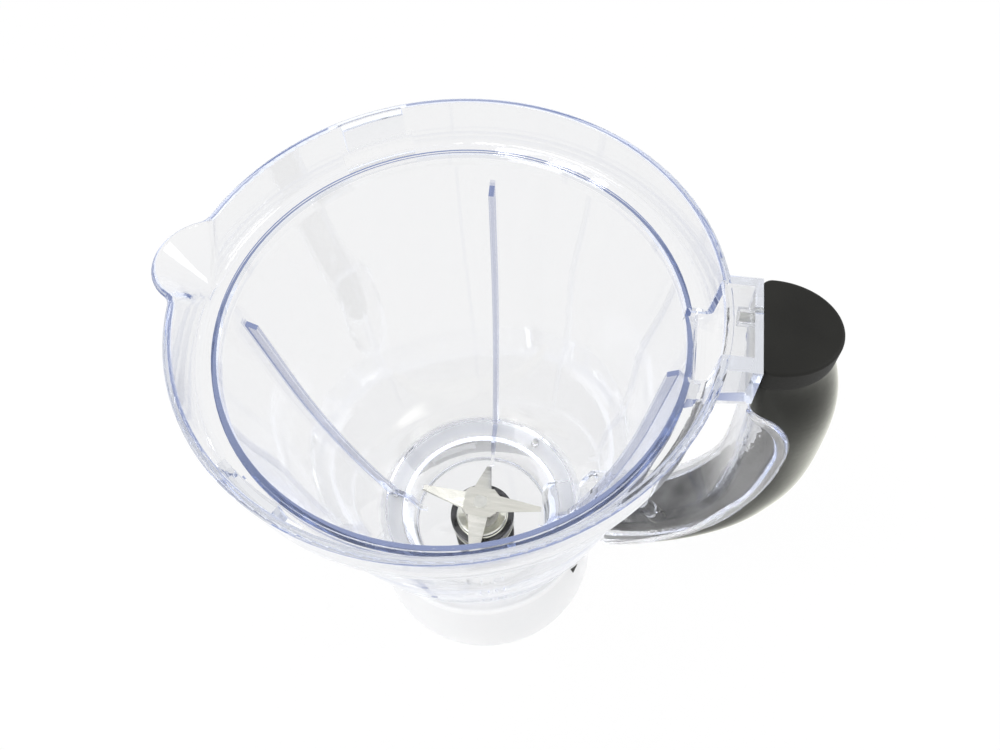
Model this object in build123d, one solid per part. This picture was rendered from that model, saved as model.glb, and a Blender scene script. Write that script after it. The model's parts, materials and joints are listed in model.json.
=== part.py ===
from build123d import *
import os

# Clear blender jug of a food processor, in millimetres.
# The origin is on the jug's axis at the bottom of its foot, +Z is up, the handle is at +X and the lip at -X.

# Vessel, from the rim down
rim_z = 214.0
throat_r = 74.9
ledge_w = 6.5
collar_h = 17.0
collar_flare = 2.3
land_h = 5.5
knee_z = 150.0
knee_in = 5.7
wall_foot_z = 52.5
wall_foot_r = 43.5
shoulder_h = 5.5
well_drop = 6.0
well_step = 8.5
well_taper = 3.8
floor_z = 34.4
wall = 2.3
ledge_t = 2.4
floor_t = 3.0
bead_w = 1.6
bead_h = 1.2
corner_round = 2.0
rim_round = 0.9
cut_past = 4.0

# Pouring lip
lip_reach = 10.2
lip_inset = 7.7
lip_turn = -1.5
lip_blend = 4.0

# Inner ribs
rib_drop = 13.0
rib_bevel = 3.5
rib_depth = 3.2
rib_t = 2.0
rib_foot_w = 5.0
rib_foot_h = 11.0
well_rib_t = 1.5
well_rib_depth = 1.6
well_rib_l = 4.0
pad_w = 16.0

# Bayonet lugs in the collar
lug_angle = 120.0
lug_spread = 15.5
lug_rise = 7.0
lug_drop = 0.5
lug_depth = 1.8
lug_window_spread = 18.5
lug_recess = 0.5

# Bracket between collar and handle, with the slot for the lid's tab
bracket_l = 8.0
bracket_half = 17.0
bracket_drop = 0.3
bracket_h = 16.7
bracket_heel = 8.5
bracket_wall = 2.2
slot_near = 11.0
slot_far = 14.8
slot_drop = 3.0

# Handle
handle_wall = 2.3
parting_gap = 0.12
seat_gap = 0.1
cap_t = 8.2
cap_sink = 7.7
cap_overhang = 0.8
cap_round = 1.2
cap_plug = 1.2

# Handle sections down the grip, then down to the root: finger x, z, back x, z, half width, rounding, crown
grip_sections = [
    (0.1, 0.0, 22.2, 0.0, 16.2, 2.8, 19.0),
    (0.1, -9.0, 24.8, -8.0, 16.4, 3.2, 18.5),
    (1.0, -20.0, 28.2, -18.0, 16.8, 5.0, 16.5),
    (3.0, -43.0, 31.6, -40.5, 16.6, 8.0, 16.0),
    (4.0, -65.0, 32.3, -65.0, 16.2, 8.5, 15.5),
    (2.8, -86.5, 27.6, -92.0, 15.6, 8.0, 13.5),
]
root_sections = [
    (48.0, 50.5, 68.0, 38.4, 15.2, 7.0, 12.0),
    (38.5, 38.0, 55.2, 21.2, 14.8, 7.0, 12.0),
    (26.5, 28.5, 39.6, 8.2, 14.6, 7.0, 12.0),
    (16.5, 25.0, 20.0, 0.2, 14.6, 7.0, 12.0),
    (7.0, 23.0, -2.0, -2.2, 14.6, 7.0, 12.0),
]
root_screw_section = 2

# Parting line between clear trough and black cover, down the grip, then down to the root
grip_parting = [(-1.0, -15.6), (5.7, -17.1), (11.9, -22.2), (16.2, -31.0), (17.9, -46.0), (14.6, -78.8)]
root_parting = [(52.7, 39.1), (36.8, 18.9), (14.9, 2.4)]

# Foot under the vessel
foot_step = 6.3
foot_flare = 2.8
foot_wall = 2.8
foot_flange_t = 2.6
foot_round = 1.2
foot_fit = 0.4
foot_gap = 0.15
spigot_depth = 5.5
foot_lug_count = 3
foot_lug_spread = 28.0
foot_lug_depth = 3.4
foot_lug_rise = 3.0
foot_lug_t = 5.0

# Screws
screw_r = 1.5
screw_head_r = 2.6
screw_head_t = 1.8
screw_fit = 0.05
screw_hole_fit = 0.25
foot_screw_count = 3
foot_screw_in = 4.5
foot_screw_bite = 3.0
foot_screw_turn = 60.0
bracket_screw_y = 10.0
bracket_screw_drop = 4.0
bracket_screw_bite = 5.5
root_screw_bite = 6.0
boss_wall = 1.6

# Bearing housing and what clamps it
flange_r = 15.2
flange_t = 3.4
flange_groove = 0.9
boss_r = 12.0
boss_h = 5.0
stem_r = 8.0
stem_l = 16.9
housing_round = 0.8
gasket_t = 1.0
gasket_w = 4.6
stem_fit = 0.2
thread_fit = 0.02
washer_t = 1.5
washer_r = 15.0
nut_t = 6.0
nut_flat = 24.0

# Running gear
shaft_r = 4.0
running_fit = 0.04
press_fit = 0.01
end_play = 0.25
relief = 0.6
bush_wall = 1.8
bush_l = 9.0
seal_wall = 3.2
seal_t = 2.0
thrust_r = 8.0
thrust_t = 1.0
spacer_r = 6.0
spacer_t = 9.65
circlip_w = 1.8
circlip_t = 1.0
circlip_bite = 0.7
circlip_opening = 4.0

# Blade
blade_t = 1.5
plate_x = 15.8
plate_y = 14.0
plate_corner = 2.4
square = 5.4
rivet_r = 3.2
rivet_t = 0.3
long_wing_l = 20.6
raised_angle = 25.0
level_angle = 2.0
short_wing_l = 17.6
lowered_angle = 30.0
wing_root = 8.2
wing_tip = 2.2
broad_wing_l = 15.5
broad_wing_root = 9.2
broad_wing_tip = 4.8
edge_t = 0.4
edge_bevel = 2.4

# Drive coupling
coupling_r = 14.5
coupling_t = 5.0
coupling_rise = 6.0
dog_count = 6
dog_ring_r = 10.8
dog_w = 4.2
dog_l = 6.0
hub_r = 7.0
hub_rise = 2.0
insert_flat = 10.0
insert_t = 6.0
thread_r = 3.0

# Heights that follow from the ones above
ledge_z = rim_z - collar_h
land_z = ledge_z - land_h
rib_top_z = ledge_z - rib_drop
shoulder_z = wall_foot_z - shoulder_h
foot_top_z = shoulder_z - foot_gap
foot_flange_z = foot_top_z - foot_flange_t
well_z = wall_foot_z - well_drop
floor_low_z = floor_z - floor_t
bracket_top_z = rim_z - bracket_drop
bracket_low_z = bracket_top_z - bracket_h
cap_low_z = bracket_top_z - cap_sink
rest_z = floor_z + gasket_t
housing_top_z = rest_z + boss_h
stem_low_z = rest_z - stem_l
seal_z = housing_top_z - seal_t
upper_bush_z = seal_z - bush_l
thrust_z = housing_top_z + end_play
spacer_z = thrust_z + thrust_t
blade_z = spacer_z + spacer_t
blade_top_z = blade_z + blade_t
nut_top_z = floor_low_z - washer_t
lower_thrust_z = stem_low_z - end_play - thrust_t
circlip_z = lower_thrust_z - circlip_t
coupling_top_z = circlip_z - end_play
disc_low_z = coupling_top_z - coupling_t

# Radii and distances that follow
collar_in_r = throat_r + ledge_w
collar_foot_r = collar_in_r + wall
rim_r = collar_foot_r + collar_flare
knee_r = throat_r - knee_in
well_mouth_r = wall_foot_r - well_step
well_floor_r = well_mouth_r - well_taper
lip_centre = rim_r - lip_inset
bracket_x = rim_r + bracket_l
foot_waist_r = wall_foot_r + foot_step
foot_r = foot_waist_r + foot_flare
stem_hole_r = stem_r + stem_fit
bush_r = shaft_r + bush_wall
seal_r = shaft_r + seal_wall
loose_r = shaft_r + running_fit
neck_r = well_mouth_r + wall
spigot_r = foot_r - foot_wall
foot_screw_pcd_r = neck_r + foot_screw_in

ON_BASE = (Align.CENTER, Align.CENTER, Align.MIN)


def lathe(outline):
    """Solid of revolution about the axis from a closed outline of (radius, height)."""
    return revolve(Plane.XZ * make_face(outline), Axis.Z)


def ring(inner_r, outer_r, low_z, height):
    """Plain ring about the axis, standing on low_z."""
    body = Cylinder(outer_r, height, align=ON_BASE) - Cylinder(inner_r, height, align=ON_BASE)
    return Pos(0, 0, low_z) * body


def sector(inner_r, outer_r, low_z, height, middle, spread):
    """Piece of a ring about the axis, spread degrees wide about the angle middle."""
    face = Pos((inner_r + outer_r) / 2, low_z + height / 2) * Rectangle(outer_r - inner_r, height)
    return Rot(0, 0, middle - spread / 2) * revolve(Plane.XZ * face, Axis.Z, spread)


def side_plate(outline, half_width):
    """Closed (x, z) outline made into a plate, half_width to each side of the XZ plane."""
    return extrude(Plane.XZ * make_face(outline), half_width, both=True)


def hexagon(flat, low_z, height):
    """Hexagonal bar about the axis, measured across its flats."""
    face = RegularPolygon(flat / 2, 6, major_radius=False)
    return Pos(0, 0, low_z) * extrude(face, height)


def round_corner(face, spot, radius):
    """Face with the corner nearest to spot rounded."""
    return fillet(face.vertices().sort_by_distance(Vector(*spot))[0], radius)


# Vessel


def wall_line(offset):
    """Tulip wall from the throat's land to the well, moved outward by offset.

    Returns the straight upper run, the tangent arc below it and the arc's end point.
    """
    top = Vector(throat_r, land_z)
    knee = Vector(knee_r, knee_z)
    foot = Vector(wall_foot_r, wall_foot_z)
    run = (knee - top).normalized()
    end_run = TangentArc(knee, foot, tangent=run) % 1
    out = Vector(-run.Y, run.X) * offset
    end_out = Vector(-end_run.Y, end_run.X) * offset
    arc = TangentArc(knee + out, foot + end_out, tangent=run)
    return Line(top + out, knee + out), arc, foot + end_out


def collar_inner_r(z):
    """Inner radius of the flared collar at height z."""
    return collar_in_r + collar_flare * (z - ledge_z) / (collar_h + ledge_t)


def vessel_outside():
    """Outer form of the vessel, filled to the axis."""
    straight, arc, foot = wall_line(wall)
    neck = straight @ 0
    collar_corner = (collar_foot_r, ledge_z - ledge_t)
    rest = Polyline(
        foot,
        (foot.X, shoulder_z),
        (neck_r, shoulder_z),
        (well_floor_r + wall, floor_low_z),
        (0, floor_low_z),
        (0, rim_z),
        (rim_r, rim_z),
        collar_corner,
        (neck.X, ledge_z - ledge_t),
        neck,
    )
    face = round_corner(make_face(rest + straight + arc), collar_corner, corner_round)
    return revolve(Plane.XZ * face, Axis.Z)


def vessel_inside():
    """Space inside the vessel, from the floor to above the rim."""
    straight, arc, foot = wall_line(0)
    top_z = rim_z + cut_past
    rest = Polyline(
        straight @ 0,
        (throat_r, ledge_z + bead_h),
        (throat_r + bead_w, ledge_z + bead_h),
        (throat_r + bead_w, ledge_z),
        (collar_in_r, ledge_z),
        (collar_inner_r(top_z), top_z),
        (0, top_z),
        (0, floor_z),
        (well_floor_r, floor_z),
        (well_mouth_r, well_z),
        foot,
    )
    face = make_face(rest + straight + arc)
    face = round_corner(face, (collar_in_r, ledge_z), corner_round)
    face = round_corner(face, (well_floor_r, floor_z), corner_round)
    return revolve(Plane.XZ * face, Axis.Z)


def lip_cone(low_z, low_r, top_r, past):
    """Upright cone of the pouring lip, carried past the rim at the same slope."""
    slope = (top_r - low_r) / (rim_z - low_z)
    height = rim_z - low_z + past
    cone = Cone(low_r, low_r + slope * height, height, align=ON_BASE)
    return Rot(0, 0, 180 + lip_turn) * (Pos(lip_centre, 0, low_z) * cone)


def blended(form, radius):
    """Form with the two long notches beside the lip rounded."""
    curved = form.edges().filter_by(GeomType.BSPLINE)
    return fillet([edge for edge in curved if edge.length > 2 * lip_reach], radius)


def ribs():
    """Four ribs down the wall, thinner ones on into the well, and a pad beside the handle's rib."""
    root, root_arc, root_foot = wall_line(wall / 2)
    crest, crest_arc, crest_foot = wall_line(-rib_depth)
    share = (land_z - rib_top_z) / (land_z - knee_z)
    bevel_share = share + rib_bevel / (land_z - knee_z)
    band = Polyline(crest_foot, root_foot) + root_arc
    band += Polyline(root @ 1, root @ share, crest @ bevel_share, crest @ 1) + crest_arc
    half = rib_t / 2
    plate = Polyline(
        (-half, rim_z),
        (-half, wall_foot_z + rib_foot_h),
        (-rib_foot_w / 2, floor_z),
        (rib_foot_w / 2, floor_z),
        (half, wall_foot_z + rib_foot_h),
        (half, rim_z),
        close=True,
    )
    across = extrude(Plane.YZ * make_face(plate), rim_r, both=True)
    wall_ribs = lathe(band) & (across + Rot(0, 0, 90) * across)
    sunk = wall / 2
    crest_z = floor_z + well_rib_depth
    in_well = Polyline(
        (well_floor_r - well_rib_l, floor_z - sunk),
        (well_floor_r - well_rib_l, crest_z),
        (well_floor_r - well_rib_depth, crest_z),
        (well_mouth_r - well_rib_depth, well_z + well_rib_depth),
        (wall_foot_r - well_rib_depth, wall_foot_z + well_rib_depth),
        (wall_foot_r, wall_foot_z - sunk),
        (well_mouth_r, well_z - sunk),
        (well_floor_r, floor_z - sunk),
        close=True,
    )
    strip = Box(2 * rim_r, well_rib_t, 2 * rim_z)
    pad = Box(rim_r, pad_w, rim_z, align=(Align.MIN, Align.MIN, Align.MIN))
    pad = Pos(well_floor_r - well_rib_l, 0, 0) * pad
    return wall_ribs + (lathe(in_well) & (strip + Rot(0, 0, 90) * strip + pad))


def collar_lugs():
    """Two inward lugs that the lid's bayonet turns under."""
    low_z = ledge_z + lug_rise
    height = rim_z - lug_drop - low_z
    root_r = collar_inner_r(low_z) + wall / 2
    return [
        sector(root_r - lug_depth - wall / 2, root_r, low_z, height, side * lug_angle, lug_spread)
        for side in (1, -1)
    ]


def lug_windows():
    """Openings through the ledge below the lugs, each with a shallow recess in the collar above it."""
    inner_r = throat_r + bead_w + wall
    top_z = ledge_z + lug_rise
    recess_r = collar_inner_r(top_z) + lug_recess
    return [
        sector(inner_r, outer_r, low_z, top_z - low_z, side * lug_angle, lug_window_spread)
        for side in (1, -1)
        for outer_r, low_z in ((collar_in_r, ledge_z - ledge_t - wall), (recess_r, ledge_z))
    ]


def bracket():
    """Block that carries the top of the handle, from the throat out to the handle's flat."""
    outline = Polyline(
        (throat_r, bracket_low_z - bracket_heel),
        (collar_foot_r, bracket_low_z - bracket_wall),
        (bracket_x, bracket_low_z),
        (bracket_x, bracket_top_z),
        (throat_r, bracket_top_z),
        close=True,
    )
    return side_plate(outline, bracket_half)


def lid_slot():
    """Pocket for the lid's tab, open to the collar and cut down through ledge and bead."""
    mouth_x = throat_r + wall
    end_x = bracket_x - bracket_wall
    outline = Polyline(
        (mouth_x, bracket_low_z - bracket_heel + 2 * bracket_wall),
        (collar_foot_r, bracket_low_z),
        (end_x, bracket_low_z + bracket_wall),
        (end_x, bracket_top_z - bracket_wall),
        (mouth_x, bracket_top_z - bracket_wall),
        close=True,
    )
    width = slot_near + slot_far
    pocket = side_plate(outline, width / 2)
    notch = Box(2 * wall + bead_w, width, slot_drop + lug_rise, align=(Align.MIN, Align.CENTER, Align.MIN))
    notch = Pos(throat_r - 2 * wall, 0, ledge_z - slot_drop) * notch
    return Pos(0, (slot_far - slot_near) / 2, 0) * (pocket + notch)


# Handle


def from_grip(x, z):
    """Point given from the foot of the cap at the handle's flat."""
    return Vector(bracket_x + x, cap_low_z + z)


def from_root(x, z):
    """Point given from where the wall meets the well."""
    return Vector(wall_foot_r + x, wall_foot_z + z)


def handle_sections():
    """Sections from top to root: finger point, back point, half width, finger rounding, depth of crown."""
    grip = [(from_grip(fx, fz), from_grip(bx, bz), *rest) for fx, fz, bx, bz, *rest in grip_sections]
    root = [(from_root(fx, fz), from_root(bx, bz), *rest) for fx, fz, bx, bz, *rest in root_sections]
    return grip + root


def upright(point):
    """Point of the XZ plane in space."""
    return Vector(point.X, 0, point.Y)


def handle_section(section, inset):
    """Oval face: nearly flat to the fingers, elliptical behind, shrunk all round by inset."""
    finger, back, half, finger_round, crown = section
    across = upright(back - finger)
    along = across.normalized()
    depth = across.length - 2 * inset
    half = half - inset
    corner = finger_round - inset
    crown = crown - inset
    straight = depth - crown
    outline = Polyline((corner, -half), (straight, -half))
    outline += EllipticalCenterArc((straight, 0), crown, half, -90, arc_size=90)
    outline += EllipticalCenterArc((straight, 0), crown, half, 0, arc_size=90)
    outline += Polyline((straight, half), (corner, half))
    outline += CenterArc((corner, half - corner), corner, 90, 90)
    outline += Polyline((0, half - corner), (0, corner - half))
    outline += CenterArc((corner, corner - half), corner, 180, 90)
    plane = Plane(upright(finger) + along * inset, x_dir=along, z_dir=along.cross(Vector(0, 1, 0)))
    return plane * make_face(outline)


def handle_body(inset):
    """The whole handle as one bar, shrunk all round by inset."""
    return loft([handle_section(section, inset) for section in handle_sections()])


def behind_parting(shift):
    """Everything behind the handle's parting line, with the line moved back by shift."""
    line = Spline(*[from_grip(*spot) for spot in grip_parting], *[from_root(*spot) for spot in root_parting])
    far_x = bracket_x + rim_r
    frame = Polyline(line @ 1, ((line @ 1).X, 0), (far_x, 0), (far_x, rim_z), ((line @ 0).X, rim_z), line @ 0)
    return Pos(shift, 0, 0) * side_plate(line + frame, rim_r)


def root_screw_place():
    """Frame of the lower handle screw: on the cover's back, pointing in through the handle."""
    finger_x, finger_z, back_x, back_z = root_sections[root_screw_section][:4]
    finger = upright(from_root(finger_x, finger_z))
    back = upright(from_root(back_x, back_z))
    return Plane(back, x_dir=(0, 1, 0), z_dir=finger - back), (finger - back).length


def bracket_screw_place():
    """Frame of the upper handle screw: on the inside of the cover's flat, pointing at the bracket."""
    spot = (bracket_x + seat_gap + handle_wall, bracket_screw_y, cap_low_z - bracket_screw_drop)
    return Plane(spot, x_dir=(0, 1, 0), z_dir=(-1, 0, 0))


def post(place, radius, start, length):
    """Cylinder along the normal of place, from start above it."""
    return place * (Pos(0, 0, start) * Cylinder(radius, length, align=ON_BASE))


def screw(place, sink, length):
    """Pan-headed screw whose head stands on sink below the face of place."""
    head = post(place, screw_head_r, sink - screw_head_t, screw_head_t)
    return head + post(place, screw_r, sink, length)


# Pieces


def make_jug_body(outside, inside, bar, core):
    """Clear moulding: vessel, collar, lip, ribs, bracket and the finger half of the handle."""
    lip_top_r = rim_r + lip_reach - lip_centre
    lip = lip_cone(ledge_z - ledge_t, collar_foot_r - lip_centre, lip_top_r, 0)
    lip_low_z = ledge_z + corner_round
    lip_space = lip_cone(lip_low_z, collar_inner_r(lip_low_z) - lip_centre, lip_top_r - wall, cut_past)
    space = blended(inside + lip_space, lip_blend + wall)
    shell = blended(outside + lip, lip_blend) - space
    shell = fillet(shell.edges().filter_by_position(Axis.Z, rim_z, rim_z), rim_round)
    place, depth = root_screw_place()
    trough = (bar - (core - outside)) - behind_parting(-parting_gap)
    root_boss = post(place, screw_r + boss_wall, 0, depth) & core
    root_boss -= behind_parting(-parting_gap)
    upper = bracket_screw_place()
    bite_start = handle_wall + seat_gap
    bracket_boss = post(upper, screw_r + boss_wall, bite_start, bracket_screw_bite)
    body = shell + (bracket() + trough + root_boss - space)
    body -= lid_slot()
    body -= lug_windows()
    body += collar_lugs()
    body += bracket_boss
    body += ribs() & outside
    body -= post(upper, screw_r + screw_fit, 0, bite_start + bracket_screw_bite)
    body -= post(place, screw_r + screw_fit, 0, depth - root_screw_bite)
    body -= Cylinder(stem_hole_r, 2 * floor_z, align=ON_BASE)
    body -= foot_screw_holes(screw_r + screw_fit, shoulder_z, foot_screw_bite)
    return body


def make_handle_cover(outside, bar, core):
    """Glossy shell that closes the back of the clear trough."""
    place, depth = root_screw_place()
    boss = post(place, screw_r + screw_hole_fit + boss_wall, handle_wall / 2, depth) & core
    shell = ((bar - core) + boss) & behind_parting(0)
    shell -= [outside, Pos(seat_gap, 0, 0) * bracket()]
    shell -= post(place, screw_head_r + screw_hole_fit, -handle_wall, 2 * handle_wall)
    shell -= post(place, screw_r + screw_hole_fit, 0, depth)
    upper = bracket_screw_place()
    shell -= post(upper, screw_r + screw_hole_fit, -handle_wall, 3 * handle_wall)
    shell -= post(upper, screw_head_r + screw_hole_fit, -2 * screw_head_t, 2 * screw_head_t)
    return shell


def make_handle_cap():
    """Matt D-shaped cap that plugs into the top of the cover."""
    top = handle_sections()[0]
    height = cap_t - seat_gap
    cap = Pos(0, 0, seat_gap) * extrude(handle_section(top, -cap_overhang), height, dir=(0, 0, 1))
    cap = fillet(cap.faces().sort_by(Axis.Z)[-1].edges(), cap_round)
    cap -= Box(bracket_x + seat_gap, rim_r, 4 * rim_z, align=(Align.MIN, Align.CENTER, Align.CENTER))
    plug = extrude(handle_section(top, handle_wall + seat_gap), cap_plug, dir=(0, 0, -1))
    link = extrude(handle_section(top, handle_wall + seat_gap), seat_gap, dir=(0, 0, 1))
    return cap + plug + link


def foot_screw_holes(radius, low_z, height):
    """Posts on the foot's screw circle, as holes or shanks."""
    spots = PolarLocations(foot_screw_pcd_r, foot_screw_count, foot_screw_turn)
    return [spot * (Pos(0, 0, low_z) * Cylinder(radius, height, align=ON_BASE)) for spot in spots]


def make_base_collar():
    """Foot that drops over the motor's spigot, with bayonet lugs inside and a flange under the vessel."""
    hole_r = neck_r + foot_fit
    waist_in_r = foot_waist_r - foot_wall
    outline = Polyline(
        (spigot_r, 0),
        (foot_r, 0),
        (foot_waist_r, foot_top_z),
        (hole_r, foot_top_z),
        (hole_r, foot_flange_z),
        (waist_in_r, foot_flange_z),
        (spigot_r, spigot_depth),
        close=True,
    )
    face = round_corner(make_face(outline), (foot_waist_r, foot_top_z), foot_round)
    body = revolve(Plane.XZ * face, Axis.Z)
    lug_z = spigot_depth + foot_lug_rise
    for turn in range(foot_lug_count):
        angle = turn * 360 / foot_lug_count
        lug = sector(spigot_r - foot_lug_depth, spigot_r, lug_z, foot_lug_t, angle, foot_lug_spread)
        body += lug
    body -= foot_screw_holes(screw_r + screw_hole_fit, foot_flange_z, foot_flange_t)
    return body


def make_base_screws():
    length = foot_flange_t + foot_gap + foot_screw_bite - screw_fit
    spots = PolarLocations(foot_screw_pcd_r, foot_screw_count, foot_screw_turn)
    return [screw(Plane(spot.position + Vector(0, 0, foot_flange_z)), 0, length) for spot in spots]


def make_handle_screws():
    place, depth = root_screw_place()
    lower = screw(place, handle_wall, depth - root_screw_bite - handle_wall - screw_fit)
    upper = screw(bracket_screw_place(), 0, handle_wall + seat_gap + bracket_screw_bite - screw_fit)
    return [lower, upper]


def make_bearing_housing():
    """Bright metal housing: flange on the floor, boss under the blade, threaded stem through the floor."""
    outline = Polyline(
        (shaft_r + relief, stem_low_z + bush_l),
        (bush_r + press_fit, stem_low_z + bush_l),
        (bush_r + press_fit, stem_low_z),
        (stem_r, stem_low_z),
        (stem_r, rest_z),
        (flange_r, rest_z),
        (flange_r, rest_z + flange_t),
        (boss_r + flange_groove, rest_z + flange_t),
        (boss_r + flange_groove, rest_z + flange_t - flange_groove),
        (boss_r, rest_z + flange_t - flange_groove),
        (boss_r, housing_top_z),
        (seal_r + press_fit, housing_top_z),
        (seal_r + press_fit, seal_z),
        (bush_r + press_fit, seal_z),
        (bush_r + press_fit, upper_bush_z),
        (shaft_r + relief, upper_bush_z),
        close=True,
    )
    face = round_corner(make_face(outline), (flange_r, rest_z + flange_t), housing_round)
    face = round_corner(face, (boss_r, housing_top_z), housing_round)
    return revolve(Plane.XZ * face, Axis.Z)


def make_clamp_nut():
    body = hexagon(nut_flat, nut_top_z - nut_t, nut_t)
    return body - ring(0, stem_r + thread_fit, nut_top_z - nut_t, nut_t)


def make_spindle():
    """Shaft with a squared, riveted top, a circlip groove and a threaded lower end."""
    low_z = coupling_top_z - insert_t
    body = Pos(0, 0, coupling_top_z) * Cylinder(shaft_r, blade_z - coupling_top_z, align=ON_BASE)
    body -= ring(shaft_r - circlip_bite, 2 * shaft_r, circlip_z, circlip_t)
    body += Pos(0, 0, low_z) * Cylinder(thread_r, insert_t, align=ON_BASE)
    body += Pos(0, 0, blade_z) * Box(square, square, blade_t, align=ON_BASE)
    head = Pos(0, 0, blade_top_z) * Cylinder(rivet_r, rivet_t, align=ON_BASE)
    head = fillet(head.edges().sort_by(Axis.Z)[-1], rivet_t / 2)
    return body + head


def make_circlip():
    inner_r = shaft_r - circlip_bite + press_fit
    body = ring(inner_r, inner_r + circlip_w, circlip_z, circlip_t)
    return body - Pos(inner_r, 0, circlip_z) * Box(2 * shaft_r, circlip_opening, 2 * circlip_t)


def wing(length, root, tip, top_z):
    """Tapering wing along +X with its upper face at top_z and its leading edge ground from below."""
    def profile(width):
        half = width / 2
        low_z = top_z - blade_t
        bevel = edge_bevel * width / root
        return Polyline(
            (-half, top_z),
            (half, top_z),
            (half, low_z),
            (bevel - half, low_z),
            (-half, top_z - edge_t),
            close=True,
        )
    inner = Plane.YZ * make_face(profile(root))
    outer = Plane.YZ.offset(length) * make_face(profile(tip))
    return loft([inner, outer], ruled=True)


def make_cross_blade():
    """One stamping: plate, a raised and a level wing along X, a narrow and a broad one lowered along Y."""
    plate = extrude(Rectangle(plate_x, plate_y), blade_t)
    plate = chamfer(plate.edges().filter_by(Axis.Z), plate_corner)
    blade = Pos(0, 0, blade_z) * plate
    long_wing = wing(long_wing_l, wing_root, wing_tip, blade_t)
    level = Pos(plate_x / 2, 0, blade_z) * (Rot(0, -level_angle, 0) * long_wing)
    raised = Pos(plate_x / 2, 0, blade_z) * (Rot(0, -raised_angle, 0) * long_wing)
    lower = Pos(plate_y / 2, 0, blade_top_z) * Rot(0, lowered_angle, 0)
    narrow = lower * wing(short_wing_l, wing_root, wing_tip, 0)
    broad = lower * wing(broad_wing_l, broad_wing_root, broad_wing_tip, 0)
    blade += [level, Rot(0, 0, 180) * raised, Rot(0, 0, 90) * narrow, Rot(0, 0, 270) * broad]
    hole = square + 2 * press_fit
    return blade - Pos(0, 0, blade_z) * Box(hole, hole, blade_t, align=ON_BASE)


def make_drive_coupling():
    """Dog coupling: disc, hub and a ring of drive dogs that hang from it."""
    body = Pos(0, 0, disc_low_z) * Cylinder(coupling_r, coupling_t, align=ON_BASE)
    hub_low_z = coupling_rise + hub_rise
    body += Pos(0, 0, hub_low_z) * Cylinder(hub_r, coupling_top_z - hub_low_z, align=ON_BASE)
    dog = Box(dog_l, dog_w, coupling_top_z - coupling_rise, align=ON_BASE)
    for spot in PolarLocations(dog_ring_r, dog_count):
        body += spot * (Pos(0, 0, coupling_rise) * dog)
    body -= hexagon(insert_flat + 2 * press_fit, coupling_top_z - insert_t, insert_t)
    return body


def make_coupling_insert():
    low_z = coupling_top_z - insert_t
    return hexagon(insert_flat, low_z, insert_t) - ring(0, thread_r + thread_fit, low_z, insert_t)


def make_pieces():
    outside = vessel_outside()
    inside = vessel_inside()
    bar = handle_body(0)
    core = handle_body(handle_wall)
    return {
        "jug_body": make_jug_body(outside, inside, bar, core),
        "base_collar": make_base_collar(),
        "base_screws": make_base_screws(),
        "handle_cover": make_handle_cover(outside, bar, core),
        "handle_cap": make_handle_cap(),
        "handle_screws": make_handle_screws(),
        "bearing_housing": make_bearing_housing(),
        "housing_gasket": ring(stem_hole_r, stem_hole_r + gasket_w, floor_z, gasket_t),
        "clamp_washer": ring(stem_hole_r, washer_r, nut_top_z, washer_t),
        "clamp_nut": make_clamp_nut(),
        "upper_bush": ring(loose_r, bush_r, upper_bush_z, bush_l),
        "lower_bush": ring(loose_r, bush_r, stem_low_z, bush_l),
        "shaft_seal": ring(loose_r, seal_r, seal_z, seal_t),
        "cross_blade": make_cross_blade(),
        "blade_washer": ring(shaft_r + press_fit, spacer_r, spacer_z, spacer_t),
        "spindle": make_spindle(),
        "upper_thrust_washer": ring(shaft_r + press_fit, thrust_r, thrust_z, thrust_t),
        "lower_thrust_washer": ring(shaft_r + press_fit, thrust_r, lower_thrust_z, thrust_t),
        "circlip": make_circlip(),
        "drive_coupling": make_drive_coupling(),
        "coupling_insert": make_coupling_insert(),
    }


def main():
    os.makedirs("parts", exist_ok=True)
    for name, shape in make_pieces().items():
        solids = shape if isinstance(shape, list) else [shape]
        node = Compound(children=[solid for item in solids for solid in item.solids()])
        export_step(node, f"parts/{name}.step")


main()
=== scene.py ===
import json
import math

import bmesh
import bpy
from mathutils import Matrix, Vector
from mathutils.geometry import interpolate_bezier


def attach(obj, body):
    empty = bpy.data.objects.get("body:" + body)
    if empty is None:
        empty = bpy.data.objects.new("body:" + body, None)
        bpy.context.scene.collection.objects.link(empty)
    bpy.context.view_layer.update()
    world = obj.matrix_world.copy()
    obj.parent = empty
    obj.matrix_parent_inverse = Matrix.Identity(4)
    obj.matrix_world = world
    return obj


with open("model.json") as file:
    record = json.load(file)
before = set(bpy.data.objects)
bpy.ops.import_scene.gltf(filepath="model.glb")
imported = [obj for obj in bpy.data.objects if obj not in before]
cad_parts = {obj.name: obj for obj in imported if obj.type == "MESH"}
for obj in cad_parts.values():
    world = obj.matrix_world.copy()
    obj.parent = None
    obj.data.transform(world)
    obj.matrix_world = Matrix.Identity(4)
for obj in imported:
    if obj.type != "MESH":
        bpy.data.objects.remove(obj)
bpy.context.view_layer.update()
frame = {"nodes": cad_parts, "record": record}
nodes = frame["nodes"]

# Clear blender jug on a white studio floor. Lengths in the scene are in metres, and in millimetres
# where the small pieces on the jug are described.
MM = 0.001
WHITE = (1, 1, 1, 1)

# Camera, from the photo's ellipses: place, right and up
CAMERA_PLACE = Vector((50.33, -150.42, 419.11)) * MM
CAMERA_RIGHT = Vector((0.98586, 0.16165, -0.04414))
CAMERA_UP = Vector((-0.11505, 0.84448, 0.52309))
PHOTO_WIDTH = 1000
FOCAL_PIXELS = 850
SENSOR = 36.0

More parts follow.
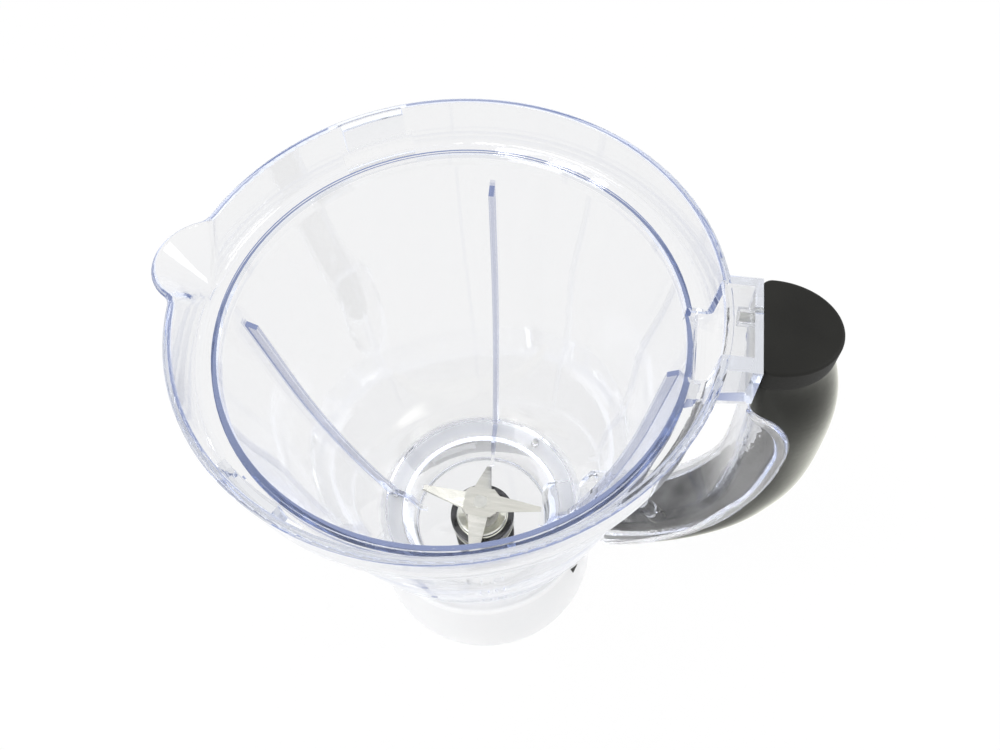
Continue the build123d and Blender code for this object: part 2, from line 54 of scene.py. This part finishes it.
# Clear plastic, and the painted blue-grey shade of the four ribs inside the vessel
PLASTIC_IOR = 1.57
PLASTIC_TINT = (0.932, 0.931, 0.930)
PLASTIC_ABSORPTION = (0.758, 0.784, 0.845)
PLASTIC_DENSITY = 60.0
PLASTIC_CLOUD = 30.0
PLASTIC_ROUGHNESS = (0.0, 0.05)
RIB_PAINTED_SHADE = (0.60, 0.62, 0.72)
RIB_HALF = 1.05 * MM
RIB_FOOT, RIB_TOP = 40.0 * MM, 184.5 * MM

# Smoky streaks in the clear half of the handle, and the slanting line behind which it lies
HAZE_SCALE = 90.0
HAZE_STRETCH = (1.0, 1.0, 0.25)
HAZE_RANGE = (-0.1, 0.24)
HANDLE_SLANT = 0.25
HANDLE_FROM = (39.5 * MM, 51.5 * MM)

# Reflections or bounces after which light counts as trapped in the walls, and its painted glow by height
DEEP_REFLECTIONS = 3.5
DEEP_BOUNCES = 10.5
DEEP_GLOW_TONES = [
    (54.0 * MM, (0.80, 0.81, 0.84)),
    (72.0 * MM, (0.50, 0.52, 0.58)),
    (196.0 * MM, (0.12, 0.155, 0.29)),
    (199.0 * MM, (0.62, 0.63, 0.66)),
]
DEEP_TOP = 250.0 * MM

# Frosted plastic, and a painted glow on the inside of the foot in place of the light that it scatters there
FROSTED_TONES = [(0.965, 0.97, 0.98), (0.99, 0.99, 0.995)]
FROSTED_CLOUD = 60.0
FROSTED_GRAIN = 2200.0
FROSTED_ROUGHNESS = (0.42, 0.58)
FROSTED_RELIEF = 0.1
FROSTED_TRANSMISSION = 0.3
FOOT_INSIDE = 50.0 * MM
FOOT_PAINTED_GLOW = 0.06

# Share of lamp light that passes a surface of clear or frosted plastic
LAMP_SHARE = 0.95

# Solid plastics and metals: cloud over the surface, depth of grain and tool marks, a sheen that paints a pale
# reflection along the edge of the glossy cover, and the part of a noise over which two tones blend
PLASTIC_MOTTLE = 45.0
GRAIN_DEPTH = 0.1 * MM
MARK_DEPTH = 0.05 * MM
SHEEN_ROUGHNESS = 0.32
SHEEN_TINT = (0.99, 1.0, 0.86, 1.0)
TONE_SPAN = (0.3, 0.7)

# Dark colour on the rim of the bearing housing, from this radius
RIM_DARK = (0.10, 0.10, 0.105, 1)
RIM_DARK_FROM = 12.3 * MM

# Gap under each small piece that is added to the moulding
SEAT = 0.03

# Rolled rim of the clear trough along the parting line (x, z)
PARTING = [(93.0, 190.4), (99.7, 188.9), (105.9, 183.8), (110.2, 175.0), (111.9, 160.0), (108.6, 127.2),
           (96.2, 91.6), (80.3, 71.4), (58.4, 54.9)]
PARTING_STEPS = 10
RIM_EDGE = 0.4
RIM_WIDTH = 4.2
RIM_HEIGHT = 0.9
RIM_EDGE_HEIGHT = 0.05
RIM_COLUMNS = 9
TROUGH_LEAST_HALF = 8.0
HANDLE_SIDE = 40.0

# Raised scale on the front of the wall: litres at each height, lines and numerals
SCALE = [("0.6", 111.0), ("0.9", 135.5), ("1.2", 156.0), ("1.5", 174.0)]
HALF_MARKS = [124.0, 146.0, 165.5]
MARK_START, MARK_END, HALF_MARK_START = -89.0, -77.0, -96.0
NUMERAL_START = -75.5
NUMERAL_WIDTH, NUMERAL_HEIGHT, NUMERAL_GAP = 2.8, 5.0, 1.3
STROKE = 0.6
SCALE_RELIEF = 0.25
BAR_STEP = 2.0
WALL_OUTSIDE = 120.0
# Strokes of each numeral in a cell one wide and one high: start, end
STROKES = {
    "0": [((0, 0), (1, 0)), ((0, 1), (1, 1)), ((0, 0), (0, 1)), ((1, 0), (1, 1))],
    "1": [((0.5, 0), (0.5, 1))],
    "2": [((0, 1), (1, 1)), ((1, 0.5), (1, 1)), ((0, 0.5), (1, 0.5)), ((0, 0), (0, 0.5)), ((0, 0), (1, 0))],
    "5": [((0, 1), (1, 1)), ((0, 0.5), (0, 1)), ((0, 0.5), (1, 0.5)), ((1, 0), (1, 0.5)), ((0, 0), (1, 0))],
    "6": [((0, 1), (1, 1)), ((0, 0), (0, 1)), ((0, 0.5), (1, 0.5)), ((1, 0), (1, 0.5)), ((0, 0), (1, 0))],
    "9": [((0, 1), (1, 1)), ((0, 0.5), (0, 1)), ((0, 0.5), (1, 0.5)), ((1, 0), (1, 1)), ((0, 0), (1, 0))],
    ".": [((0, 0), (0, 0.05))],
}

# Alignment mark on the foot: azimuth and height of its corners
ARROW = [(-26.2, 41.5), (-24.2, 33.0), (-19.4, 34.5)]
ARROW_RELIEF = 0.12

# Studio; the three spots show as small glints on the ledge
WORLD_FILL = 0.92
FLOOR_SIZE = 6.0
FLOOR_DROP = 0.1 * MM
FLOOR_TONE = (0.9, 0.9, 0.9, 1)
FLOOR_ROUGHNESS = 0.9
FLOOR_GLOW = 0.9
BODY_AIM = (0, 0, 0.1)
LEDGE_AIM = (0, 0, 0.2)
# Name, place, aim, width, height and watts of each lamp
LAMPS = [
    ("key", (-0.6, -0.5, 1.2), BODY_AIM, 0.8, 0.8, 5.0),
    ("fill", (1.0, 0.2, 0.9), BODY_AIM, 0.5, 0.8, 3.0),
    ("spot_left", (-0.192, 1.145, 1.233), LEDGE_AIM, 0.070, 0.020, 0.035),
    ("spot_middle", (-0.071, 1.136, 1.251), LEDGE_AIM, 0.085, 0.024, 0.055),
    ("spot_right", (0.006, 1.114, 1.271), LEDGE_AIM, 0.045, 0.024, 0.035),
]


# Materials


def new_material(name):
    """New node material: returns the material, its nodes, its links and its shader."""
    material = bpy.data.materials.new(name)
    material.use_nodes = True
    tree = material.node_tree
    shader = tree.nodes["Principled BSDF"]
    return material, tree.nodes, tree.links, shader


def object_noise(tree_nodes, links, scale, detail=4.0, stretch=(1, 1, 1)):
    """Noise in the object's own space, stretched along its axes."""
    coords = tree_nodes.new("ShaderNodeTexCoord")
    mapping = tree_nodes.new("ShaderNodeMapping")
    mapping.inputs["Scale"].default_value = stretch
    noise = tree_nodes.new("ShaderNodeTexNoise")
    noise.inputs["Scale"].default_value = scale
    noise.inputs["Detail"].default_value = detail
    links.new(coords.outputs["Object"], mapping.inputs["Vector"])
    links.new(mapping.outputs["Vector"], noise.inputs["Vector"])
    return noise.outputs["Fac"]


def remap(tree_nodes, links, value, low, high):
    """Value from 0..1 spread over low..high."""
    node = tree_nodes.new("ShaderNodeMapRange")
    node.inputs["To Min"].default_value = low
    node.inputs["To Max"].default_value = high
    links.new(value, node.inputs["Value"])
    return node.outputs["Result"]


def two_tone(tree_nodes, links, value, dark, light):
    """Colour that runs from dark to light with value."""
    ramp = tree_nodes.new("ShaderNodeValToRGB")
    for stop, position, colour in zip(ramp.color_ramp.elements, TONE_SPAN, (dark, light)):
        stop.position = position
        stop.color = (*colour, 1)
    links.new(value, ramp.inputs["Fac"])
    return ramp.outputs["Color"]


def tone_by_height(tree_nodes, links, tones, top):
    """Colour that changes with the object's height, given as (height, colour) below top."""
    coords = tree_nodes.new("ShaderNodeTexCoord")
    split = tree_nodes.new("ShaderNodeSeparateXYZ")
    links.new(coords.outputs["Object"], split.inputs["Vector"])
    share = tree_nodes.new("ShaderNodeMapRange")
    share.inputs["From Max"].default_value = top
    links.new(split.outputs["Z"], share.inputs["Value"])
    ramp = tree_nodes.new("ShaderNodeValToRGB")
    stops = ramp.color_ramp.elements
    while len(stops) < len(tones):
        stops.new(1.0)
    for stop, (height, colour) in zip(stops, tones):
        stop.position = height / top
        stop.color = (*colour, 1)
    links.new(share.outputs["Result"], ramp.inputs["Fac"])
    return ramp.outputs["Color"]


def bump(tree_nodes, links, value, strength, distance):
    """Normal that follows value as a relief."""
    node = tree_nodes.new("ShaderNodeBump")
    node.inputs["Strength"].default_value = strength
    node.inputs["Distance"].default_value = distance
    links.new(value, node.inputs["Height"])
    return node.outputs["Normal"]


def math_node(tree_nodes, links, operation, *values):
    """Result of a math operation on numbers or sockets."""
    node = tree_nodes.new("ShaderNodeMath")
    node.operation = operation
    for socket, value in zip(node.inputs, values):
        if isinstance(value, float):
            socket.default_value = value
        else:
            links.new(value, socket)
    return node.outputs["Value"]


def axis_distance(tree_nodes, links):
    """Distance from the jug's axis."""
    coords = tree_nodes.new("ShaderNodeTexCoord")
    flat = tree_nodes.new("ShaderNodeVectorMath")
    flat.operation = "MULTIPLY"
    flat.inputs[1].default_value = (1, 1, 0)
    links.new(coords.outputs["Object"], flat.inputs[0])
    radius = tree_nodes.new("ShaderNodeVectorMath")
    radius.operation = "LENGTH"
    links.new(flat.outputs["Vector"], radius.inputs[0])
    return radius.outputs["Value"]


def pass_light(tree_nodes, links, shader, path):
    """Lets lamp light through the surface, a little dimmed, instead of a black shadow."""
    window = tree_nodes.new("ShaderNodeBsdfTransparent")
    window.inputs["Color"].default_value = (LAMP_SHARE, LAMP_SHARE, LAMP_SHARE, 1)
    mix = tree_nodes.new("ShaderNodeMixShader")
    links.new(path.outputs["Is Shadow Ray"], mix.inputs["Fac"])
    links.new(shader.outputs["BSDF"], mix.inputs[1])
    links.new(window.outputs["BSDF"], mix.inputs[2])
    links.new(mix.outputs["Shader"], tree_nodes["Material Output"].inputs["Surface"])


def handle_share(tree_nodes, links):
    """0 on the vessel, 1 on the handle behind the slanting line that parts them."""
    coords = tree_nodes.new("ShaderNodeTexCoord")
    along = tree_nodes.new("ShaderNodeVectorMath")
    along.operation = "DOT_PRODUCT"
    along.inputs[1].default_value = (1, 0, -HANDLE_SLANT)
    links.new(coords.outputs["Object"], along.inputs[0])
    share = tree_nodes.new("ShaderNodeMapRange")
    share.inputs["From Min"].default_value, share.inputs["From Max"].default_value = HANDLE_FROM
    links.new(along.outputs["Value"], share.inputs["Value"])
    return share.outputs["Result"]


def rib_share(tree_nodes, links, handle):
    """1 on the four ribs inside the vessel, where shade is painted, else 0."""
    coords = tree_nodes.new("ShaderNodeTexCoord")
    split = tree_nodes.new("ShaderNodeSeparateXYZ")
    links.new(coords.outputs["Object"], split.inputs["Vector"])
    across, along = split.outputs["X"], split.outputs["Y"]
    near = [math_node(tree_nodes, links, "COMPARE", side, 0.0, RIB_HALF) for side in (across, along)]
    on_rib = math_node(tree_nodes, links, "MAXIMUM", *near)
    middle, reach = (RIB_TOP + RIB_FOOT) / 2, (RIB_TOP - RIB_FOOT) / 2
    level = math_node(tree_nodes, links, "COMPARE", split.outputs["Z"], middle, reach)
    off_handle = math_node(tree_nodes, links, "SUBTRACT", 1.0, handle)
    on_wall = math_node(tree_nodes, links, "MULTIPLY", on_rib, level)
    return math_node(tree_nodes, links, "MULTIPLY", on_wall, off_handle)


def clear_plastic():
    """Polished clear styrene, blue where one looks along its walls, partly from absorption and partly from a
    painted glow; painted shade darkens the ribs.
    """
    material, tree_nodes, links, shader = new_material("clear_plastic")
    handle = handle_share(tree_nodes, links)
    # Plastic tint, with painted blue-grey shade on the ribs
    tint_and_rib_shade = tree_nodes.new("ShaderNodeMix")
    tint_and_rib_shade.data_type = "RGBA"
    links.new(rib_share(tree_nodes, links, handle), tint_and_rib_shade.inputs["Factor"])
    tint_and_rib_shade.inputs["A"].default_value = (*PLASTIC_TINT, 1)
    tint_and_rib_shade.inputs["B"].default_value = (*RIB_PAINTED_SHADE, 1)
    links.new(tint_and_rib_shade.outputs["Result"], shader.inputs["Base Color"])
    shader.inputs["IOR"].default_value = PLASTIC_IOR
    cloud = object_noise(tree_nodes, links, PLASTIC_CLOUD)
    links.new(remap(tree_nodes, links, cloud, *PLASTIC_ROUGHNESS), shader.inputs["Roughness"])
    smoke = object_noise(tree_nodes, links, HAZE_SCALE, stretch=HAZE_STRETCH)
    haze = math_node(tree_nodes, links, "MULTIPLY", remap(tree_nodes, links, smoke, *HAZE_RANGE), handle)
    links.new(math_node(tree_nodes, links, "SUBTRACT", 1.0, haze), shader.inputs["Transmission Weight"])
    volume = tree_nodes.new("ShaderNodeVolumeAbsorption")
    volume.inputs["Color"].default_value = (*PLASTIC_ABSORPTION, 1)
    volume.inputs["Density"].default_value = PLASTIC_DENSITY
    links.new(volume.outputs["Volume"], tree_nodes["Material Output"].inputs["Volume"])
    # Painted glow: rays that have reflected or bounced many times emit a colour graded by height, in place of
    # light trapped in the walls
    path = tree_nodes.new("ShaderNodeLightPath")
    reflected = math_node(tree_nodes, links, "GREATER_THAN", path.outputs["Glossy Depth"], DEEP_REFLECTIONS)
    spent = math_node(tree_nodes, links, "GREATER_THAN", path.outputs["Ray Depth"], DEEP_BOUNCES)
    links.new(math_node(tree_nodes, links, "MAXIMUM", reflected, spent), shader.inputs["Emission Strength"])
    links.new(tone_by_height(tree_nodes, links, DEEP_GLOW_TONES, DEEP_TOP), shader.inputs["Emission Color"])
    material.cycles.emission_sampling = "NONE"
    pass_light(tree_nodes, links, shader, path)
    return material


def frosted_plastic():
    """Clear plastic with a spark-eroded, milky surface, with a faint painted glow inside the foot."""
    material, tree_nodes, links, shader = new_material("frosted_plastic")
    cloud = object_noise(tree_nodes, links, FROSTED_CLOUD)
    links.new(two_tone(tree_nodes, links, cloud, *FROSTED_TONES), shader.inputs["Base Color"])
    shader.inputs["Transmission Weight"].default_value = FROSTED_TRANSMISSION
    shader.inputs["IOR"].default_value = PLASTIC_IOR
    grain = object_noise(tree_nodes, links, FROSTED_GRAIN)
    links.new(remap(tree_nodes, links, grain, *FROSTED_ROUGHNESS), shader.inputs["Roughness"])
    links.new(bump(tree_nodes, links, grain, FROSTED_RELIEF, MARK_DEPTH), shader.inputs["Normal"])
    # Painted glow on the inside of the foot, in place of light scattered through its walls
    inside = math_node(tree_nodes, links, "LESS_THAN", axis_distance(tree_nodes, links), FOOT_INSIDE)
    links.new(math_node(tree_nodes, links, "MULTIPLY", inside, FOOT_PAINTED_GLOW), shader.inputs["Emission Strength"])
    shader.inputs["Emission Color"].default_value = WHITE
    material.cycles.emission_sampling = "NONE"
    path = tree_nodes.new("ShaderNodeLightPath")
    pass_light(tree_nodes, links, shader, path)
    return material


def moulded_plastic(name, dark, light, smooth, rough, grain_scale, relief, shine=0.5, painted_sheen=0.0):
    """Solid moulded plastic with a fine surface texture and slightly uneven gloss, and an optional sheen that
    paints a pale reflection at grazing angles.
    """
    material, tree_nodes, links, shader = new_material(name)
    cloud = object_noise(tree_nodes, links, PLASTIC_MOTTLE)
    links.new(two_tone(tree_nodes, links, cloud, dark, light), shader.inputs["Base Color"])
    grain = object_noise(tree_nodes, links, grain_scale, detail=2.0)
    links.new(remap(tree_nodes, links, grain, smooth, rough), shader.inputs["Roughness"])
    links.new(bump(tree_nodes, links, grain, relief, GRAIN_DEPTH), shader.inputs["Normal"])
    shader.inputs["Specular IOR Level"].default_value = shine
    # Sheen that paints a pale reflection along grazing edges
    shader.inputs["Sheen Weight"].default_value = painted_sheen
    shader.inputs["Sheen Roughness"].default_value = SHEEN_ROUGHNESS
    shader.inputs["Sheen Tint"].default_value = SHEEN_TINT
    return material


def metal(name, dark, light, smooth, rough, scale, stretch=(1, 1, 1), relief=0.02):
    """Bare metal with fine brushed or turned marks."""
    material, tree_nodes, links, shader = new_material(name)
    shader.inputs["Metallic"].default_value = 1.0
    marks = object_noise(tree_nodes, links, scale, detail=6.0, stretch=stretch)
    links.new(two_tone(tree_nodes, links, marks, dark, light), shader.inputs["Base Color"])
    links.new(remap(tree_nodes, links, marks, smooth, rough), shader.inputs["Roughness"])
    links.new(bump(tree_nodes, links, marks, relief, MARK_DEPTH), shader.inputs["Normal"])
    return material


def housing_metal():
    """Turned metal, coloured dark outside a radius around its bright middle."""
    material = metal(
        "bright_metal", (0.80, 0.80, 0.74), (0.90, 0.90, 0.84), 0.1, 0.22, 700.0, stretch=(0.3, 0.3, 2.0))
    tree_nodes, links = material.node_tree.nodes, material.node_tree.links
    shader = tree_nodes["Principled BSDF"]
    bright = shader.inputs["Base Color"].links[0].from_socket
    # Colour turns dark on the rim, outside the given radius
    darkened_rim = tree_nodes.new("ShaderNodeMix")
    darkened_rim.data_type = "RGBA"
    outside = math_node(tree_nodes, links, "GREATER_THAN", axis_distance(tree_nodes, links), RIM_DARK_FROM)
    links.new(outside, darkened_rim.inputs["Factor"])
    links.new(bright, darkened_rim.inputs["A"])
    darkened_rim.inputs["B"].default_value = RIM_DARK
    links.new(darkened_rim.outputs["Result"], shader.inputs["Base Color"])
    return material


def make_finishes():
    """One material for each slot of the record."""
    return {
        "clear_plastic": clear_plastic(),
        "frosted_plastic": frosted_plastic(),
        # The glossy cover carries a painted sheen reflection along its edges
        "black_gloss": moulded_plastic(
            "black_gloss", (0.002, 0.002, 0.002), (0.004, 0.004, 0.004), 0.06, 0.12, 300.0, 0.02, shine=0.08,
            painted_sheen=1.0),
        "black_matt": moulded_plastic(
            "black_matt", (0.008, 0.008, 0.007), (0.015, 0.015, 0.013), 0.5, 0.65, 1800.0, 0.25, shine=0.2),
        "coupling_plastic": moulded_plastic(
            "coupling_plastic", (0.012, 0.012, 0.013), (0.022, 0.022, 0.022), 0.4, 0.55, 900.0, 0.1),
        "black_rubber": moulded_plastic(
            "black_rubber", (0.014, 0.014, 0.014), (0.024, 0.024, 0.024), 0.7, 0.85, 1500.0, 0.2),
        "nylon": moulded_plastic(
            "nylon", (0.78, 0.76, 0.70), (0.84, 0.82, 0.77), 0.4, 0.5, 900.0, 0.05),
        "blade_steel": metal(
            "blade_steel", (0.66, 0.655, 0.60), (0.78, 0.77, 0.72), 0.16, 0.30, 500.0,
            stretch=(0.15, 1.0, 1.0)),
        "bright_metal": housing_metal(),
        "plain_steel": metal(
            "plain_steel", (0.66, 0.66, 0.62), (0.76, 0.76, 0.72), 0.25, 0.4, 400.0),
        "bronze": metal("bronze", (0.50, 0.34, 0.18), (0.62, 0.44, 0.25), 0.35, 0.5, 600.0),
        "brass": metal("brass", (0.66, 0.50, 0.22), (0.76, 0.60, 0.30), 0.2, 0.35, 500.0),
    }


def dress_nodes(finishes):
    """Gives each CAD node the material of its slot in the record."""
    for row in frame["record"]["subparts"]:
        data = nodes[row["node"]].data
        data.materials.clear()
        data.materials.append(finishes[row["material_slot"]])


# Small pieces on the clear moulding


def surface_spot(node, start, direction):
    """Point and normal where a ray meets a CAD node, in the row frame; None if it passes by."""
    body = nodes[node]
    to_body = body.matrix_world.inverted()
    hit, spot, normal, _ = body.ray_cast(to_body @ start, to_body.to_3x3() @ direction)
    if not hit:
        return None
    return body.matrix_world @ spot, (body.matrix_world.to_3x3() @ normal).normalized()


def wall_spot(node, azimuth, height):
    """Point and normal on the outside of a round node, at an azimuth in degrees and a height."""
    angle = math.radians(azimuth)
    out = Vector((math.cos(angle), math.sin(angle), 0))
    return surface_spot(node, (out * WALL_OUTSIDE + Vector((0, 0, height))) * MM, -out)


def raised_sheet(rows, relief, shells):
    """Adds a closed sheet to shells: rows of (point, normal), raised by relief in each column."""
    vertices, polygons = shells
    first = len(vertices)
    columns = len(rows[0])
    count = len(rows) * columns
    for heights in (relief, [0.0] * columns):
        for row in rows:
            vertices += [spot + normal * (SEAT + height) * MM for (spot, normal), height in zip(row, heights)]

    def at(row, column):
        return first + row * columns + column

    for row in range(len(rows) - 1):
        for column in range(columns - 1):
            quad = (at(row, column), at(row + 1, column), at(row + 1, column + 1), at(row, column + 1))
            polygons += [quad, tuple(corner + count for corner in quad)]
    last = len(rows) - 1
    border = [at(0, column) for column in range(columns)]
    border += [at(row, columns - 1) for row in range(1, len(rows))]
    border += [at(last, column) for column in range(columns - 2, -1, -1)]
    border += [at(row, 0) for row in range(last - 1, 0, -1)]
    for here, there in zip(border, border[1:] + border[:1]):
        polygons.append((here, there, there + count, here + count))


def add_piece(name, shells, finish, smooth):
    """Mesh object on the jug from closed shells, given as lists of vertices and faces."""
    vertices, polygons = shells
    mesh = bpy.data.meshes.new(name)
    mesh.from_pydata(vertices, [], polygons)
    form = bmesh.new()
    form.from_mesh(mesh)
    bmesh.ops.recalc_face_normals(form, faces=form.faces)
    form.to_mesh(mesh)
    form.free()
    if smooth:
        mesh.shade_smooth()
    mesh.materials.append(finish)
    piece = bpy.data.objects.new(name, mesh)
    bpy.context.scene.collection.objects.link(piece)
    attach(piece, "jug")


def smooth_path(points, steps):
    """Points on a smooth curve through the given ones, steps to each span."""
    spots = [Vector(point) for point in points]
    ends = [2 * spots[0] - spots[1], *spots, 2 * spots[-1] - spots[-2]]
    path = [spots[0]]
    for before, start, end, after in zip(ends, ends[1:], ends[2:], ends[3:]):
        leave, arrive = start + (end - before) / 6, end - (after - start) / 6
        path += interpolate_bezier(start, leave, arrive, end, steps + 1)[1:]
    return path


def make_trough_rim(finish):
    """Rolled rim along the edge of the clear trough, on both sides of the handle."""
    path = smooth_path(PARTING, PARTING_STEPS)
    shells = [], []
    shares = [column / (RIM_COLUMNS - 1) for column in range(RIM_COLUMNS)]
    relief = [RIM_HEIGHT * math.sqrt(math.sin(math.pi * share)) for share in shares]
    relief[0] = relief[-1] = RIM_EDGE_HEIGHT
    for side in (-1, 1):
        rows = []
        for before, here, after in zip(path, path[1:], path[2:]):
            along = (after - before).normalized()
            inward = Vector((along.y, -along.x))
            row = []
            for share in shares:
                spot = here + inward * (RIM_EDGE + RIM_WIDTH * share)
                start = Vector((spot.x, side * HANDLE_SIDE, spot.y)) * MM
                row.append(surface_spot("jug_body", start, Vector((0, -side, 0))))
            if all(row) and all(abs(place.y) > TROUGH_LEAST_HALF * MM for place, _ in row):
                rows.append(row)
        raised_sheet(rows, relief, shells)
    add_piece("trough_rim", shells, finish, True)


def wall_bar(start, end, low, high, shells):
    """Raised bar on the front wall between two azimuths and two heights."""
    turns = max(2, math.ceil((end - start) / BAR_STEP) + 1)
    azimuths = [start + (end - start) * turn / (turns - 1) for turn in range(turns)]
    rows = [[wall_spot("jug_body", azimuth, height) for height in (low, high)] for azimuth in azimuths]
    raised_sheet(rows, [SCALE_RELIEF] * 2, shells)


def make_scale(finish):
    """Raised lines and numerals of the filling scale."""
    shells = [], []
    half = STROKE / 2
    for _, height in SCALE:
        wall_bar(MARK_START, MARK_END, height - half, height + half, shells)
    for height in HALF_MARKS:
        wall_bar(HALF_MARK_START, MARK_START, height - half, height + half, shells)
    for text, height in SCALE:
        radius = wall_spot("jug_body", NUMERAL_START, height)[0].xy.length / MM
        turn = math.degrees(1 / radius)
        left = 0.0
        for sign in text:
            width = 0.0 if sign == "." else NUMERAL_WIDTH
            for (x0, y0), (x1, y1) in STROKES[sign]:
                low = height + NUMERAL_HEIGHT * (y0 - 0.5) - half
                high = height + NUMERAL_HEIGHT * (y1 - 0.5) + half
                start = NUMERAL_START + (left + width * x0 - half) * turn
                end = NUMERAL_START + (left + width * x1 + half) * turn
                wall_bar(start, end, low, high, shells)
            left += width + NUMERAL_GAP
    add_piece("filling_scale", shells, finish, False)


def make_arrow(finish):
    """Dark alignment mark on the foot."""
    top, left, right = [wall_spot("base_collar", *corner) for corner in ARROW]
    shells = vertices, polygons = [], []
    for lift in (SEAT + ARROW_RELIEF, SEAT):
        vertices += [spot + normal * lift * MM for spot, normal in (top, left, right)]
    polygons += [(0, 1, 2), (3, 4, 5), (0, 1, 4, 3), (1, 2, 5, 4), (2, 0, 3, 5)]
    add_piece("alignment_mark", shells, finish, False)


# Studio


def white_for_eye(tree_nodes, links):
    """1 for rays that show the background straight, in a reflection or through clear plastic, else 0."""
    path = tree_nodes.new("ShaderNodeLightPath")
    shown = path.outputs["Is Camera Ray"]
    for ray in ("Is Glossy Ray", "Is Transmission Ray"):
        shown = math_node(tree_nodes, links, "MAXIMUM", shown, path.outputs[ray])
    return shown


def make_world():
    """White surroundings that light the jug a little less than they show."""
    world = bpy.data.worlds.new("studio")
    bpy.context.scene.world = world
    world.use_nodes = True
    tree_nodes, links = world.node_tree.nodes, world.node_tree.links
    fill = tree_nodes["Background"]
    fill.inputs["Color"].default_value = WHITE
    fill.inputs["Strength"].default_value = WORLD_FILL
    white = tree_nodes.new("ShaderNodeBackground")
    white.inputs["Color"].default_value = WHITE
    white.inputs["Strength"].default_value = 1.0
    mix = tree_nodes.new("ShaderNodeMixShader")
    links.new(white_for_eye(tree_nodes, links), mix.inputs["Fac"])
    links.new(fill.outputs["Background"], mix.inputs[1])
    links.new(white.outputs["Background"], mix.inputs[2])
    links.new(mix.outputs["Shader"], tree_nodes["World Output"].inputs["Surface"])


def make_floor():
    """White floor, just under the foot."""
    mesh = bpy.data.meshes.new("floor")
    half = FLOOR_SIZE / 2
    corners = [(x, y, -FLOOR_DROP) for x, y in ((-half, -half), (half, -half), (half, half), (-half, half))]
    mesh.from_pydata(corners, [], [(0, 1, 2, 3)])
    floor = bpy.data.objects.new("floor", mesh)
    bpy.context.scene.collection.objects.link(floor)
    material, tree_nodes, links, shader = new_material("floor_white")
    shader.inputs["Base Color"].default_value = FLOOR_TONE
    shader.inputs["Roughness"].default_value = FLOOR_ROUGHNESS
    shader.inputs["Specular IOR Level"].default_value = 0.0
    glow = tree_nodes.new("ShaderNodeEmission")
    glow.inputs["Strength"].default_value = 1.0
    mix = tree_nodes.new("ShaderNodeMixShader")
    share = math_node(tree_nodes, links, "MULTIPLY", white_for_eye(tree_nodes, links), FLOOR_GLOW)
    links.new(share, mix.inputs["Fac"])
    links.new(shader.outputs["BSDF"], mix.inputs[1])
    links.new(glow.outputs["Emission"], mix.inputs[2])
    links.new(mix.outputs["Shader"], tree_nodes["Material Output"].inputs["Surface"])
    mesh.materials.append(material)


def softbox(name, place, aim, width, height, power):
    """Oval area lamp at place, turned to aim."""
    light = bpy.data.lights.new(name, "AREA")
    light.shape = "ELLIPSE"
    light.size = width
    light.size_y = height
    light.energy = power
    lamp = bpy.data.objects.new(name, light)
    lamp.location = place
    lamp.rotation_euler = (Vector(aim) - Vector(place)).to_track_quat("-Z", "Y").to_euler()
    bpy.context.scene.collection.objects.link(lamp)


def make_camera():
    """Camera of the photo."""
    back = CAMERA_RIGHT.cross(CAMERA_UP).normalized()
    turn = Matrix((CAMERA_RIGHT, CAMERA_UP, back)).transposed().to_4x4()
    data = bpy.data.cameras.new("camera")
    data.sensor_width = SENSOR
    data.lens = FOCAL_PIXELS * SENSOR / PHOTO_WIDTH
    data.clip_start = 0.01
    camera = bpy.data.objects.new("camera", data)
    camera.matrix_world = Matrix.Translation(CAMERA_PLACE) @ turn
    bpy.context.scene.collection.objects.link(camera)
    bpy.context.scene.camera = camera


def make_studio():
    make_world()
    make_floor()
    for lamp in LAMPS:
        softbox(*lamp)
    make_camera()
    bpy.context.scene.view_settings.view_transform = "Standard"


finishes = make_finishes()
dress_nodes(finishes)
make_trough_rim(finishes["clear_plastic"])
make_scale(finishes["clear_plastic"])
make_arrow(finishes["black_matt"])
make_studio()
